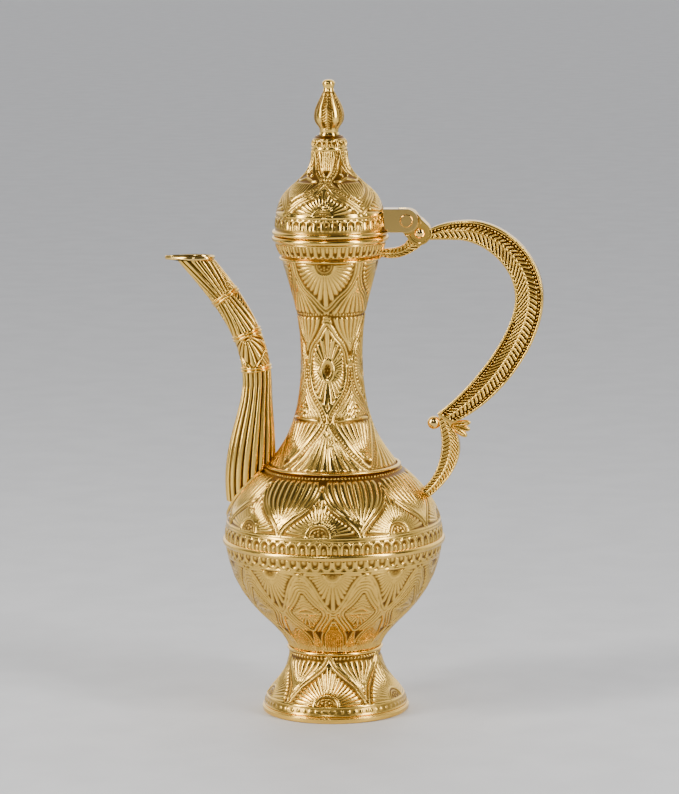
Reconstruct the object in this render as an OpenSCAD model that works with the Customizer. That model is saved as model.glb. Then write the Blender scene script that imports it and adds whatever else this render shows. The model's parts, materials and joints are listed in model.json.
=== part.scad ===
// Hinged-lid ewer: a tall footed pot of pressed sheet brass with a slender neck,
// a swan-neck spout, a cast loop handle and a lid that swings on a pin beside the mouth.
// Millimetres. The axis of the pot is Z, the foot stands on z = 0,
// the spout points along -X and the handle along +X.

/* [Heights] */
// Height of the flared foot
foot_h = 32.5; // [26:0.5:40]
// Height of the lower bowl, from the foot to the widest ring
bowl_h = 55.5; // [45:0.5:68]
// Height of the upper bowl, from the widest ring to the neck
shoulder_h = 38; // [32:0.5:46]
// Height of the neck
neck_h = 105; // [86:0.5:128]
// Height of the flared collar round the mouth
collar_h = 11.3; // [9:0.1:14]
// Height of the lid without its finial
lid_h = 49.4; // [42:0.2:60]
// Height of the finial above the lid
finial_h = 28; // [23:0.5:34]

/* [Radii] */
// Outer radius of the foot where it stands
foot_r = 37.3; // [31:0.1:45]
// Outer radius of the waist between foot and bowl
waist_r = 23.4; // [19:0.1:28]
// Outer radius of the bowl at its widest
belly_r = 55.4; // [48:0.1:66]
// Outer radius where the neck leaves the bowl
shoulder_r = 33.4; // [29:0.1:38]
// Outer radius of the neck at its narrowest
neck_r = 15.6; // [13:0.1:19]
// Outer radius at the top of the neck
throat_r = 24.9; // [22:0.1:28]
// Outer radius of the collar at the mouth
mouth_r = 28.4; // [26:0.1:32]
// Outer radius of the lid's crown
crown_r = 9.2; // [8:0.1:11]
// Largest radius of the finial
finial_r = 7.7; // [6.4:0.1:9]

/* [Sheet metal] */
// Thickness of the pressed sheet
wall = 1.2; // [1:0.1:1.5]
// How far the raised rings stand proud of the sheet
ring_proud = 0.9; // [0.6:0.1:1.2]
// Clearance between two soldered pieces
seam_gap = 0.05; // [0.02:0.01:0.1]

/* [Spout] */
// How far the spout's centre line reaches from the axis at the mouth
spout_reach = 69; // [60:0.5:78]
// Height of the spout's mouth
spout_z = 229.5; // [205:0.5:240]
// Half the width of the spout tube, seen from the side
spout_half_w = 7.4; // [6.5:0.1:9]
// Half the thickness of the spout tube, seen from the front
spout_half_t = 7.1; // [6:0.1:8.5]
// Wall of the spout
spout_wall = 1.1; // [0.9:0.1:1.4]
// Length of the pouring beak beyond the tube
beak = 4.8; // [3:0.2:7]
// How far the ferrules stand proud of the tube
ferrule_proud = 0.6; // [0.4:0.1:1]
// Thickness of the pouring lip
lip_t = 2; // [1.5:0.1:2.5]
// Width of the flange round the root of the spout
skirt_w = 1.6; // [1.2:0.1:2.4]
// Height of that flange above the pot
skirt_t = 1; // [0.8:0.1:1.4]
// Radius of the port from the bowl into the spout
port_r = 5.5; // [4.5:0.5:6.5]

/* [Handle] */
// Outermost reach of the handle from the axis
handle_reach = 106.8; // [98:0.2:120]
// Thickness of the handle casting
handle_t = 7.6; // [6.4:0.2:9]
// Radius of the ball that fastens the handle
ball_r = 3.4; // [2.8:0.1:4]
// Radius of the ball's shank
ball_shank_r = 1.2; // [1:0.1:1.4]
// Length of the leaf beside the ball
leaf_l = 10.8; // [9:0.2:13]
// Thickness of the leaf
leaf_t = 3.2; // [2.6:0.2:4]
// Thickness of the strut from the collar
strut_t = 6; // [5:0.2:7]

/* [Hinge] */
// Distance of the hinge pin outside the collar
hinge_out = 10.5; // [9.5:0.1:12]
// Height of the hinge pin above the mouth
hinge_up = 7.4; // [7:0.1:8.4]
// Radius of the hinge eye
eye_r = 5.85; // [5.4:0.05:6.2]
// Radius of the hinge pin
pin_r = 1.6; // [1.3:0.1:2]
// Radial clearance of the pin in the lid's ears
pin_play = 0.05; // [0.03:0.01:0.1]
// Thickness of the knuckle's tongue
tongue_t = 3.6; // [3:0.2:4.4]
// Thickness of each ear of the lid bracket
ear_t = 2.2; // [1.8:0.1:2.8]
// Side clearance between tongue and ears
ear_gap = 0.3; // [0.25:0.05:0.4]
// Clearance between the closed lid and the mouth
lid_gap = 0.3; // [0.25:0.05:0.4]
// Depth of the lid's sleeve inside the mouth
plug_h = 6; // [4.5:0.5:7]

/* [Finial fixing] */
// Radius of the finial's stud
stud_r = 1.5; // [1.2:0.1:2]
// Width across the flats of the nut
nut_w = 5.5; // [5:0.1:6.5]
// Thickness of the nut
nut_h = 2.4; // [2:0.1:3]
// Radius of the washer under the nut
washer_r = 4; // [3.6:0.1:5]
// Thickness of the washer
washer_h = 0.8; // [0.6:0.1:1.2]

/* [Hidden] */
$fn = 96;
STEPS = 10;
GOLD = "gold";
BRASS = "goldenrod";
DARK = "darkgoldenrod";

// Levels of the pot, from the floor up
z_waist = foot_h;
z_belly = z_waist + bowl_h;
z_shoulder = z_belly + shoulder_h;
z_throat = z_shoulder + neck_h;
z_mouth = z_throat + collar_h;
z_lid = z_mouth + lid_gap;
z_crown = z_lid + lid_h;
z_tip = z_crown + finial_h;

// ---- Curves ----

function bez(a, b, c, d, n = STEPS, from = 0) = [
  for (i = [from:n])
    let (t = i / n, s = 1 - t)
    s * s * s * a + 3 * s * s * t * b + 3 * s * t * t * c + t * t * t * d
];

function unit(v) = v / norm(v);

// Direction of a polyline at point i
function tangent(p, i) = unit(p[min(i + 1, len(p) - 1)] - p[max(i - 1, 0)]);

// The polyline moved by d to its left
function beside(p, d) = [
  for (i = [0:len(p) - 1])
    let (t = tangent(p, i))
    p[i] + d * [-t.y, t.x]
];

function reversed(p) = [for (i = [len(p) - 1:-1:0]) p[i]];

// The polyline without its first point, for joining it to one that ends there
function tail(p) = [for (i = [1:len(p) - 1]) p[i]];

// Radius of a profile at height z
function radius_at(profile, z) = lookup(z, [for (p = profile) [p.y, p.x]]);

// ---- Profiles of the sheet-metal shells, as [radius, height] from the floor up ----

base_ring_h = 3.4;
foot_profile = bez(
  [foot_r - 0.5, base_ring_h],
  [foot_r - 1.6, 0.42 * foot_h],
  [waist_r, 0.47 * foot_h],
  [waist_r, z_waist]
);

bowl_profile = bez(
  [waist_r, z_waist],
  [waist_r + 0.1 * (belly_r - waist_r), z_waist + 0.25 * bowl_h],
  [waist_r + 0.88 * (belly_r - waist_r), z_waist + 0.36 * bowl_h],
  [belly_r, z_belly]
);

shoulder_profile = bez(
  [belly_r, z_belly],
  [belly_r + 0.4, z_belly + 0.4 * shoulder_h],
  [shoulder_r + 0.7 * (belly_r - shoulder_r), z_belly + 0.65 * shoulder_h],
  [shoulder_r, z_shoulder]
);

neck_waist_z = z_shoulder + 0.53 * neck_h;
neck_profile = concat(
  bez(
    [shoulder_r, z_shoulder],
    [neck_r + 0.39 * (shoulder_r - neck_r), z_shoulder + 0.12 * neck_h],
    [neck_r, z_shoulder + 0.25 * neck_h],
    [neck_r, neck_waist_z]
  ),
  bez(
    [neck_r, neck_waist_z],
    [neck_r, neck_waist_z + 0.37 * (z_throat - neck_waist_z)],
    [neck_r + 0.42 * (throat_r - neck_r), neck_waist_z + 0.63 * (z_throat - neck_waist_z)],
    [throat_r, z_throat],
    STEPS, 1
  )
);

collar_profile = bez(
  [throat_r, z_throat],
  [throat_r + 0.45 * (mouth_r - throat_r), z_throat + 0.3 * collar_h],
  [mouth_r - 0.1, z_throat + 0.6 * collar_h],
  [mouth_r, z_mouth],
  6
);

lid_r = mouth_r - 0.2;
dome_z = z_lid + 0.51 * lid_h;
neck_of_lid_z = z_lid + 0.8 * lid_h;
dome_r = crown_r + 0.49 * (lid_r - crown_r);
dome_profile = concat(
  bez(
    [lid_r, z_lid],
    [lid_r - 0.5, z_lid + 0.3 * lid_h],
    [lid_r - 2.4, z_lid + 0.39 * lid_h],
    [dome_r, dome_z]
  ),
  bez(
    [dome_r, dome_z],
    [dome_r - 4, dome_z + 0.07 * lid_h],
    [crown_r + 0.3, dome_z + 0.15 * lid_h],
    [crown_r + 0.1, neck_of_lid_z],
    STEPS, 1
  ),
  bez(
    [crown_r + 0.1, neck_of_lid_z],
    [crown_r, z_crown - 4],
    [crown_r - 0.1, z_crown - 0.2],
    [crown_r - 1.9, z_crown],
    STEPS, 1
  )
);

// The whole outside of the pot and of the lid, for what is cut to fit against them
pot_profile = concat(
  [[foot_r, 0]],
  foot_profile,
  tail(bowl_profile),
  tail(shoulder_profile),
  tail(neck_profile),
  tail(collar_profile)
);

// ---- Building blocks ----

// The inner face of a sheet whose ends are cut level
function lining(profile, thickness) =
  let (last = len(profile) - 1, inner = beside(profile, thickness))
  [
    for (i = [0:last])
      i == 0 || i == last
        ? profile[i] - [thickness / tangent(profile, i).y, 0]
        : inner[i]
  ];

// A shell of revolution with the sheet inside the profile
module shell(profile, thickness = wall) {
  rotate_extrude()
    polygon(concat(profile, reversed(lining(profile, thickness))));
}

// The region inside a profile, as a flat half section
module half_section(profile, grow = 0) {
  skin = beside(profile, -grow);
  polygon(concat([[0, profile[0].y]], skin, [[0, profile[len(profile) - 1].y]]));
}

module pot_body(grow = 0) {
  rotate_extrude()
    half_section(pot_profile, grow);
}

// A half-round ring soldered round the outside at radius r
module raised_ring(r, z, half_h, proud) {
  rotate_extrude()
    intersection() {
      translate([r, z])
        scale([proud / half_h, 1])
          circle(half_h);
      translate([r, z - half_h])
        square([proud, 2 * half_h]);
    }
}

// Stands a drawing of the XZ plane upright, thick along Y and centred on y = 0
module upright(thickness) {
  rotate([90, 0, 0])
    linear_extrude(thickness, center = true)
      children();
}

// Two discs of radii r1 and r2 at p and q joined by their outer tangents
module pear(p, r1, q, r2) {
  way = unit(q - p);
  side = [-way.y, way.x];
  lean = (r1 - r2) / norm(q - p);
  out = sqrt(1 - lean * lean);
  up = lean * way + out * side;
  down = lean * way - out * side;
  translate(p) circle(r1);
  translate(q) circle(r2);
  polygon([p + r1 * up, p + r1 * down, q + r2 * down, q + r2 * up]);
}

// ---- Foot and body ----

module foot() {
  color(GOLD)
    shell(foot_profile);
}

module foot_base_ring() {
  color(GOLD)
    rotate_extrude()
      polygon(concat(
        [[foot_r - 3, 0]],
        bez([foot_r - 1, 0], [foot_r, 0], [foot_r, 1], [foot_r, 1.8], 6),
        bez([foot_r, 1.8], [foot_r, 2.6], [foot_r - 0.2, 3], [foot_r - 0.5, base_ring_h - seam_gap], 6, 1),
        [[foot_r - 3, base_ring_h - seam_gap]]
      ));
}

module foot_neck_ring() {
  color(BRASS)
    rotate_extrude()
      difference() {
        translate([waist_r, z_waist])
          circle(ring_proud + 0.1);
        half_section(concat(foot_profile, tail(bowl_profile)), seam_gap);
      }
}

floor_t = 1.5;
floor_z = z_waist + 1;

module lower_bowl() {
  color(GOLD)
    shell(bowl_profile);
}

module bowl_floor() {
  color(BRASS)
    translate([0, 0, floor_z])
      cylinder(h = floor_t, r = radius_at(bowl_profile, floor_z) - 1.1 * wall - seam_gap);
}

module belly_ring() {
  color(GOLD)
    raised_ring(belly_r + 0.1, z_belly, 1.7, ring_proud);
}

// The port lies low on the upper bowl, behind the root of the spout
port_z = z_belly + 0.72 * shoulder_h;

module upper_bowl() {
  color(GOLD)
    difference() {
      shell(shoulder_profile);
      translate([0, 0, port_z])
        rotate([0, -90, 0])
          cylinder(h = 2 * belly_r, r = port_r);
    }
}

module shoulder_bead(grow = 0) {
  translate([shoulder_r, z_shoulder])
    circle(ring_proud + 0.1 + grow);
}

module shoulder_ring() {
  color(GOLD)
    rotate_extrude()
      difference() {
        shoulder_bead();
        half_section(concat(shoulder_profile, tail(neck_profile)), seam_gap);
      }
}

module neck() {
  color(GOLD)
    shell(neck_profile);
}

module throat_ring() {
  color(GOLD)
    rotate_extrude()
      difference() {
        translate([throat_r, z_throat])
          circle(ring_proud);
        half_section(concat(neck_profile, tail(collar_profile)), seam_gap);
      }
}

module collar() {
  color(GOLD)
    shell(collar_profile);
}

module mouth_ring() {
  color(GOLD)
    raised_ring(mouth_r + seam_gap, z_mouth - 1.4, 1.4, ring_proud);
}

// ---- Spout ----

// Each row of the path is [x, z, half width seen from the side, half thickness]
spout_root_x = belly_r - 12.1;
spout_bend = [spout_reach - 30.9, z_belly + 0.55 * (spout_z - z_belly)];
spout_top = [spout_reach, spout_z + 0.5];
spout_path = concat(
  bez(
    [-spout_root_x, z_belly + 10, spout_half_w + 2.5, spout_half_t + 0.9],
    [-spout_root_x + 0.3, z_belly + 40, spout_half_w + 9.7, spout_half_t + 3.9],
    [-spout_bend.x - 0.9, spout_bend.y - 20, spout_half_w + 1.1, spout_half_t + 1.5],
    [-spout_bend.x, spout_bend.y, spout_half_w + 0.1, spout_half_t + 0.1],
    14
  ),
  bez(
    [-spout_bend.x, spout_bend.y, spout_half_w + 0.1, spout_half_t + 0.1],
    [-spout_bend.x + 0.5, spout_bend.y + 22, spout_half_w - 0.3, spout_half_t - 0.1],
    [-spout_top.x + 21, spout_top.y - 24, spout_half_w, spout_half_t],
    [-spout_top.x, spout_top.y, spout_half_w, spout_half_t],
    14, 1
  ),
  [[-spout_top.x - 5.6, spout_top.y + 6.4, spout_half_w, spout_half_t]]
);
SPOUT_SIDES = 12;
// Rows of the path that cover the root of the spout
ROOT_ROWS = 12;

function flat(row) = [row.x, row.y];

// Unit vector across the spout in the XZ plane at row i, away from the neck
function spout_across(i) =
  let (
    a = flat(spout_path[max(i - 1, 0)]),
    b = flat(spout_path[min(i + 1, len(spout_path) - 1)]),
    t = unit(b - a)
  )
  [-t.y, t.x];

// Point on the far half of the tube at row i and angle u; thin moves it inwards
function spout_point(i, u, thin) =
  let (
    row = spout_path[i],
    n = spout_across(i),
    w = (row[2] - thin) * cos(u)
  )
  [row.x + w * n.x, (row[3] - thin) * sin(u) + seam_gap / 2, row.y + w * n.y];

// The outside of the whole tube, grown outwards
module spout_solid(grow) {
  sides = 2 * SPOUT_SIDES;
  rows = ROOT_ROWS;
  points = [
    for (i = [0:rows - 1])
      for (k = [0:sides - 1])
        let (
          row = spout_path[i],
          n = spout_across(i),
          w = (row[2] + grow) * cos(180 * k / SPOUT_SIDES)
        )
        [row.x + w * n.x, (row[3] + grow) * sin(180 * k / SPOUT_SIDES), row.y + w * n.y]
  ];
  skin = [
    for (i = [0:rows - 2])
      for (k = [0:sides - 1])
        let (a = i * sides + k, b = i * sides + (k + 1) % sides)
        for (f = [[a, b, b + sides], [a, b + sides, a + sides]])
          f
  ];
  floor_face = [for (k = [sides - 1:-1:0]) k];
  top_face = [for (k = [0:sides - 1]) (rows - 1) * sides + k];
  polyhedron(points, concat(skin, [floor_face, top_face]));
}

// The far half of the tube, split in the plane y = 0
module spout_half() {
  rows = len(spout_path);
  per = SPOUT_SIDES + 1;
  ring = 2 * per;
  points = [
    for (i = [0:rows - 1])
      for (k = [0:ring - 1])
        k < per
          ? spout_point(i, 180 * k / SPOUT_SIDES, 0)
          : spout_point(i, 180 * (ring - 1 - k) / SPOUT_SIDES, spout_wall)
  ];
  sides = [
    for (i = [0:rows - 2])
      for (k = [0:ring - 1])
        let (a = i * ring + k, b = i * ring + (k + 1) % ring)
        for (f = [[a, b, b + ring], [a, b + ring, a + ring]])
          f
  ];
  // An end is a band of quadrilaterals between the outer and the inner arc
  function end_faces(base) = [
    for (k = [0:SPOUT_SIDES - 1])
      for (f = [
        [base + k, base + ring - 1 - k, base + ring - 2 - k],
        [base + k, base + ring - 2 - k, base + k + 1]
      ])
        f
  ];
  function turned(faces) = [for (f = faces) reversed(f)];
  top = (rows - 1) * ring;
  faces = concat(sides, end_faces(0), turned(end_faces(top)));
  difference() {
    polyhedron(points, faces);
    pot_body(seam_gap);
    rotate_extrude()
      shoulder_bead(seam_gap);
    translate([-spout_reach - 40, -20, spout_z])
      cube([80, 40, 40]);
  }
}

module spout_near_half() {
  color(GOLD)
    mirror([0, 1, 0])
      spout_half();
}

module spout_far_half() {
  color(GOLD)
    spout_half();
}

// A thin flange that lies on the pot round the root of the spout
module spout_skirt() {
  color(GOLD)
    difference() {
      spout_solid(skirt_w);
      spout_solid(seam_gap);
      pot_body(seam_gap);
      // The flange stops under the shoulder ring
      rotate_extrude()
        union() {
          shoulder_bead(seam_gap);
          translate([0, z_shoulder])
            square([2 * belly_r, neck_h]);
          difference() {
            translate([0, z_belly])
              square([2 * belly_r, 2 * shoulder_h]);
            half_section(concat(shoulder_profile, tail(neck_profile)), skirt_t);
          }
        }
    }
}

// Half length of the slanted mouth, and the middle of its opening
lip_half_l = spout_half_w / cos(41) + 0.5;
lip_x = -spout_reach - 0.2;

// Pointed oval of the pouring lip; grow widens it
function lip_outline(grow, n = 40) = [
  for (i = [0:n - 1])
    let (
      u = 360 * i / n,
      c = cos(u),
      reach = c < 0 ? beak * pow(-c, 5) : 0
    )
    [lip_x + (lip_half_l + grow + reach) * c, (spout_half_t + 0.4 + grow) * sin(u)]
];

module spout_lip() {
  color(GOLD)
    translate([0, 0, spout_z + seam_gap])
      linear_extrude(lip_t)
        difference() {
          polygon(lip_outline(0));
          polygon(lip_outline(-2));
        }
}

// A double-bead ferrule round the spout at row i of its path
module spout_ferrule(i) {
  row = spout_path[i];
  n = spout_across(i);
  lean = atan2(n.y, n.x);
  outer = [row[2] + ferrule_proud, row[3] + ferrule_proud];
  translate([row.x, 0, row.y])
    rotate([0, -lean, 0])
      difference() {
        translate([0, 0, -1.6])
          linear_extrude(3.2)
            scale(outer)
              circle(1);
        translate([0, 0, -3])
          linear_extrude(6)
            scale([row[2] + 0.3, row[3] + 0.3])
              circle(1);
      }
}

module spout_ring_upper() {
  color(GOLD)
    spout_ferrule(24);
}

module spout_ring_middle() {
  color(GOLD)
    spout_ferrule(20);
}

module spout_ring_lower() {
  color(GOLD)
    spout_ferrule(16);
}

// ---- Hinge ----

pin = [mouth_r + hinge_out, z_mouth + hinge_up];
rivet = pin + [6.3, -6.3];
rivet_r = 1.6;
head_r = 3.3;
head_h = 0.8;
lobe_r = 5.9;
// The full-thickness part of the knuckle stands back from the ears as the lid swings
swing_r = eye_r + 1.35;
// The web of the bracket stands back from the tongue for the same reason
slot_r = eye_r + 1.5;
bracket_t = tongue_t + 2 * ear_gap + 2 * ear_t;
pocket_d = 1.6;

module hinge_knuckle() {
  color(BRASS)
    difference() {
      union() {
        upright(handle_t)
          difference() {
            pear(pin, eye_r, rivet, lobe_r);
            translate(pin) circle(swing_r);
          }
        upright(tongue_t)
          pear(pin, eye_r, rivet, lobe_r);
      }
      translate([pin.x, 0, pin.y])
        rotate([90, 0, 0])
          cylinder(h = 2 * handle_t, r = pin_r, center = true);
      translate([rivet.x, 0, rivet.y])
        rotate([90, 0, 0])
          cylinder(h = 2 * handle_t, r = rivet_r, center = true);
      for (side = [-1, 1])
        translate([rivet.x, side * (handle_t - pocket_d), rivet.y])
          rotate([90, 0, 0])
            cylinder(h = handle_t, r = lobe_r - 1.1, center = true);
    }
}

module knuckle_rivet() {
  color(GOLD)
    translate([rivet.x, 0, rivet.y])
      rotate([90, 0, 0]) {
        cylinder(h = handle_t - 2 * pocket_d + 1, r = rivet_r, center = true);
        for (side = [0, 180])
          rotate([side, 0, 0])
            translate([0, 0, handle_t / 2 - pocket_d + seam_gap])
              intersection() {
                translate([0, 0, 1.3 - head_r])
                  sphere(head_r);
                cylinder(h = head_r, r = head_r);
              }
      }
}

module hinge_pin() {
  color(GOLD)
    translate([pin.x, 0, pin.y])
      rotate([90, 0, 0]) {
        cylinder(h = bracket_t + 2 * ear_gap, r = pin_r, center = true);
        for (side = [0, 180])
          rotate([side, 0, 0])
            translate([0, 0, bracket_t / 2 + ear_gap])
              cylinder(h = head_h, r1 = head_r, r2 = head_r - 0.5);
      }
}

// ---- Handle ----

loop_start = rivet + [5.4, 2.2];
loop_start_in = rivet + [5.2, -3.2];
loop_top = [0.3 * handle_reach + 0.62 * loop_start.x + 6.4, pin.y];
loop_out = [handle_reach, pin.y - 38.5];
joint_z = z_shoulder + 0.213 * neck_h;
loop_end = [shoulder_r + 28.4, joint_z - 0.4];
loop_end_in = [shoulder_r + 20.2, joint_z + 4.3];
loop_in = [handle_reach - 13.9, loop_out.y];

loop_outer = concat(
  bez(loop_start, loop_start + [4.5, 2.6], loop_top - [7, 0], loop_top, 6),
  bez(
    loop_top,
    loop_top + [0.49 * (loop_out.x - loop_top.x), 0],
    loop_out + [0, 0.55 * (loop_top.y - loop_out.y)],
    loop_out,
    STEPS, 1
  ),
  bez(
    loop_out,
    loop_out - [0, 0.365 * (loop_out.y - loop_end.y)],
    loop_end + [0.53 * (loop_out.x - loop_end.x), 0.17 * (loop_out.y - loop_end.y)],
    loop_end,
    STEPS, 1
  )
);
loop_top_in = loop_top + [-4, -9.6];
loop_inner = concat(
  bez(loop_start_in, loop_start_in + [5, 0.2], loop_top_in - [5, -0.2], loop_top_in, 6),
  bez(
    loop_top_in,
    loop_top_in + [0.45 * (loop_in.x - loop_top_in.x), -1.2],
    loop_in + [0, 0.55 * (loop_top_in.y - loop_in.y)],
    loop_in,
    STEPS, 1
  ),
  bez(
    loop_in,
    loop_in - [0, 0.29 * (loop_in.y - loop_end_in.y)],
    loop_end_in + [0.46 * (loop_in.x - loop_end_in.x), 0.23 * (loop_in.y - loop_end_in.y)],
    loop_end_in,
    STEPS, 1
  )
);

module handle_loop() {
  color(GOLD)
    difference() {
      upright(handle_t)
        polygon(concat(loop_outer, reversed(loop_inner)));
      // The end is hollowed to the knuckle's round side
      upright(2 * handle_t)
        translate(rivet) circle(lobe_r + seam_gap);
    }
}

// The arm runs from the end of the loop to the shoulder of the bowl
ball_shank_l = 7.5;
arm_z = z_belly + 0.65 * shoulder_h;
arm_x = radius_at(shoulder_profile, arm_z);
arm_top = loop_end + [-0.6, -seam_gap - 0.1];
arm_top_in = loop_end_in + [0.3, -seam_gap - 0.1];
ball = [arm_top_in.x - 2.4, joint_z - 0.8];

arm_outer = concat(
  [arm_top],
  bez(
    arm_top + [-1.2, -1.2],
    arm_top + [6.4, -9.8],
    [arm_x + 19.8, arm_z + 11.4],
    [arm_x + 2.6, arm_z - 2.6]
  )
);
arm_inner = concat(
  [arm_top_in],
  bez(
    arm_top_in + [0.8, -6.7],
    arm_top_in + [3.2, -15.8],
    [arm_x + 8.3, arm_z + 8.4],
    [arm_x - 2.2, arm_z + 0.8]
  )
);

module handle_lower_arm() {
  color(GOLD)
    difference() {
      upright(handle_t - 0.8)
        polygon(concat(arm_outer, reversed(arm_inner)));
      pot_body(seam_gap);
      translate([ball.x, 0, ball.y])
        rotate([0, 90, 0])
          cylinder(h = ball_shank_l, r = ball_shank_r);
      translate([ball.x, 0, ball.y])
        sphere(ball_r + seam_gap);
    }
}

module handle_ball_screw() {
  color(GOLD)
    translate([ball.x, 0, ball.y]) {
      sphere(ball_r);
      rotate([0, 90, 0])
        cylinder(h = ball_shank_l - 0.3, r = ball_shank_r);
    }
}

// One drop-shaped lobe of the leaf, pointing along +X
function lobe_outline(l, w) = [
  for (i = [0:23])
    let (u = 360 * i / 24)
    [l / 2 * (1 - cos(u)), w * sin(u) * sqrt(0.08 + 0.92 * (1 - cos(u)) / 2)]
];

leaf_root = loop_end + [-2.5, -1.1];

module handle_leaf() {
  color(GOLD)
    difference() {
      upright(leaf_t)
        translate(leaf_root)
          for (turn = [5, -15, -35])
            rotate(turn)
              polygon(lobe_outline(leaf_l, 2.1));
      upright(2 * leaf_t)
        polygon(concat(beside(arm_outer, seam_gap), reversed(arm_inner)));
      upright(2 * leaf_t)
        polygon(concat(beside(loop_outer, seam_gap), reversed(loop_inner)));
    }
}

// A sickle-shaped strut from the collar up to the underside of the knuckle
strut_root = [throat_r, z_throat + 0.9];
strut_low = bez(
  strut_root,
  strut_root + [8, -2.6],
  rivet + [-5, -11.5],
  rivet + [1.5, -lobe_r + 0.3],
  8
);
strut_high = bez(
  strut_root + [0, 3.4],
  strut_root + [8, 3.6],
  rivet + [-7, -7.4],
  rivet + [-lobe_r + 0.6, -1.4],
  8
);

module neck_strut() {
  color(GOLD)
    difference() {
      upright(strut_t)
        polygon(concat(strut_low, reversed(strut_high)));
      pot_body(seam_gap);
      upright(2 * strut_t) {
        pear(pin, eye_r + seam_gap, rivet, lobe_r + seam_gap);
        translate(pin) circle(swing_r);
      }
    }
}

// ---- Lid ----

finial_foot_r = 0.65 * finial_r;

module lid_dome() {
  color(GOLD)
    union() {
      difference() {
        shell(dome_profile);
        translate([0, 0, z_crown - 0.6])
          cylinder(h = 2, r = finial_foot_r + 0.3);
      }
      // The crown dips to a flat seat for the finial
      translate([0, 0, z_crown - wall - 0.6])
        difference() {
          cylinder(h = wall, r = crown_r - 2.2);
          translate([0, 0, -wall])
            cylinder(h = 3 * wall, r = stud_r + 0.05);
        }
    }
}

module lid_rim_ring() {
  color(GOLD)
    raised_ring(lid_r + seam_gap, z_lid + 1.3, 1.3, ring_proud + 0.1);
}

// A tapered sleeve that centres the lid in the mouth, with a flange under the dome
sleeve_r = throat_r + 0.3;
flange_h = 1;

module lid_sleeve() {
  bottom = z_lid - plug_h;
  color(BRASS)
    rotate_extrude()
      polygon([
        [sleeve_r - 1.6, bottom],
        [sleeve_r, z_lid],
        [lid_r - wall - seam_gap, z_lid],
        [lid_r - wall - seam_gap - 0.05, z_lid + flange_h],
        [sleeve_r - wall, z_lid + flange_h],
        [sleeve_r - 1.6 - wall, bottom]
      ]);
}

// The bracket is solid beside the dome and forks into two ears at the pin
module lid_bracket() {
  slot_t = tongue_t + 2 * ear_gap;
  color(BRASS)
    difference() {
      upright(bracket_t) {
        translate(pin) circle(eye_r);
        translate([lid_r - 6, pin.y - eye_r])
          square([pin.x - lid_r + 6, 2 * eye_r]);
      }
      rotate_extrude()
        half_section(dome_profile, seam_gap);
      rotate_extrude()
        square([lid_r + ring_proud + 0.2, z_lid + 2.7]);
      translate([pin.x, 0, pin.y])
        rotate([90, 0, 0]) {
          cylinder(h = slot_t, r = slot_r, center = true);
          cylinder(h = 2 * bracket_t, r = pin_r + pin_play, center = true);
        }
      translate([pin.x, -slot_t / 2, pin.y - eye_r - 1])
        cube([2 * eye_r, slot_t, 2 * eye_r + 2]);
    }
}

// ---- Finial ----

finial_z = z_crown - 0.6 + seam_gap;
finial_profile = concat(
  bez([finial_foot_r, finial_z], [finial_foot_r + 0.3, z_crown + 1], [0.61 * finial_r, z_crown + 1.6],
    [0.61 * finial_r, z_crown + 2.6], 5),
  bez([0.61 * finial_r, z_crown + 2.6], [0.63 * finial_r, z_crown + 5], [finial_r, z_crown + 5.4],
    [finial_r, z_crown + 9.5], 7, 1),
  bez([finial_r, z_crown + 9.5], [finial_r, z_crown + 15], [0.45 * finial_r, z_crown + 19.6],
    [0.31 * finial_r, z_tip - 4.3], 8, 1),
  bez([0.31 * finial_r, z_tip - 4.3], [0.38 * finial_r, z_tip - 3.6], [0.42 * finial_r, z_tip - 3],
    [0.42 * finial_r, z_tip - 2.1], 4, 1),
  bez([0.42 * finial_r, z_tip - 2.1], [0.42 * finial_r, z_tip - 0.7], [0.24 * finial_r, z_tip],
    [0, z_tip], 6, 1)
);
stud_in = 8;

module finial() {
  color(GOLD)
    rotate_extrude()
      difference() {
        polygon(concat([[0, finial_z]], finial_profile));
        translate([0, finial_z - 1])
          square([stud_r, stud_in + 1]);
      }
}

nut_top = z_crown - 0.6 - wall - washer_h - 2 * seam_gap;

module finial_stud() {
  color(BRASS)
    translate([0, 0, nut_top - nut_h - 1])
      cylinder(h = finial_z + stud_in - 0.2 - (nut_top - nut_h - 1), r = stud_r);
}

module finial_washer() {
  color(DARK)
    translate([0, 0, nut_top + seam_gap])
      difference() {
        cylinder(h = washer_h, r = washer_r);
        translate([0, 0, -1])
          cylinder(h = washer_h + 2, r = stud_r + 0.1);
      }
}

module finial_nut() {
  color(DARK)
    translate([0, 0, nut_top - nut_h])
      difference() {
        cylinder(h = nut_h, r = nut_w / 2 / cos(30), $fn = 6);
        translate([0, 0, -1])
          cylinder(h = nut_h + 2, r = stud_r);
      }
}

foot();
foot_base_ring();
foot_neck_ring();
lower_bowl();
bowl_floor();
belly_ring();
upper_bowl();
shoulder_ring();
neck();
throat_ring();
collar();
mouth_ring();
spout_near_half();
spout_far_half();
spout_skirt();
spout_lip();
spout_ring_upper();
spout_ring_middle();
spout_ring_lower();
handle_loop();
handle_lower_arm();
handle_leaf();
handle_ball_screw();
hinge_knuckle();
neck_strut();
knuckle_rivet();
hinge_pin();
lid_dome();
lid_rim_ring();
lid_sleeve();
lid_bracket();
finial();
finial_stud();
finial_washer();
finial_nut();
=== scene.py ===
"""A gilt ewer with a hinged lid: the embossed metal over its CAD frame.

Lengths are in millimetres until a mesh is written in metres; the setting is in metres.
Embossed sheets are grids of points whose relief is worked out from a few drawn lines.
Relief is 0 on the tops of the ridges, which lie on the CAD surface, and negative below.
"""

import json
import math

import bpy
import numpy as np
from mathutils import Matrix, Vector
from mathutils.bvhtree import BVHTree

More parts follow.
